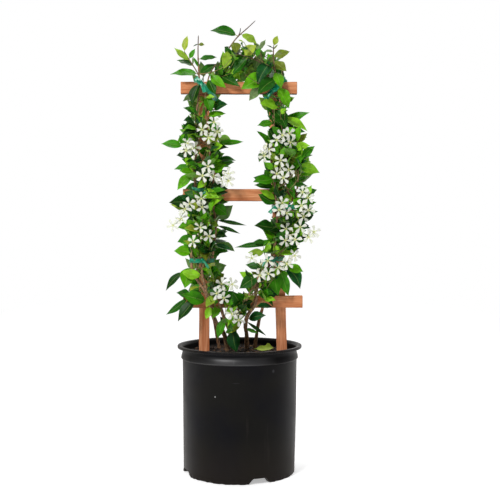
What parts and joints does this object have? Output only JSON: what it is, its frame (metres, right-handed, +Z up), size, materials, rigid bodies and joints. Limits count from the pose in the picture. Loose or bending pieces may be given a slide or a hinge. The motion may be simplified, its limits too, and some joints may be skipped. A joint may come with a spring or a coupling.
{
  "type": "potted star jasmine",
  "caption": "Flowering star jasmine vine tied to a wooden ladder trellis in a black nursery pot, with opposite glossy leaves and clusters of white pinwheel flowers.",
  "frame": {"origin": "on the floor under the middle of the pot", "axes": "+Z up along the plant's height, +X to the right seen from the front, +Y away from the front; the rungs lie on the -Y side of the uprights"},
  "size_m": [0.3212, 0.254, 0.9145],
  "materials": {
    "pot_plastic": "satin",
    "bark_mix": "rough",
    "stained_wood": "matte",
    "nail_steel": "dull",
    "tie_tape": "satin",
    "vine": "glossy leaves",
    "petal": "soft matte",
    "yellow_leaf": "satin"
  },
  "bodies": {
    "root": {"pot": "pot_plastic", "potting_mix": "bark_mix", "trellis_upright_left": "stained_wood", "trellis_upright_right": "stained_wood", "trellis_rung_bottom": "stained_wood", "trellis_rung_middle": "stained_wood", "trellis_rung_top": "stained_wood", "nail_left_bottom": "nail_steel", "nail_right_bottom": "nail_steel", "nail_left_middle": "nail_steel", "nail_right_middle": "nail_steel", "nail_left_top": "nail_steel", "nail_right_top": "nail_steel", "tie_left_lower": "tie_tape", "tie_left_upper": "tie_tape", "tie_right_lower": "tie_tape", "tie_right_middle": "tie_tape", "tie_left_top": "tie_tape", "tie_right_top": "tie_tape", "stem_left_main": "vine", "stem_left_inner": "vine", "stem_left_rear": "vine", "stem_cross_front": "vine", "stem_right_main": "vine", "stem_right_rear": "vine", "cyme_01": "petal", "cyme_02": "petal", "cyme_03": "petal", "cyme_04": "petal", "cyme_05": "petal", "cyme_06": "petal", "cyme_07": "petal", "cyme_08": "petal", "cyme_09": "petal", "cyme_10": "petal", "cyme_11": "petal", "cyme_12": "petal", "cyme_13": "petal", "cyme_14": "petal", "cyme_15": "petal", "cyme_16": "petal", "cyme_17": "petal", "cyme_18": "petal", "cyme_19": "petal", "cyme_20": "petal", "cyme_21": "petal", "fallen_leaf": "yellow_leaf"}
  },
  "joints": []
}
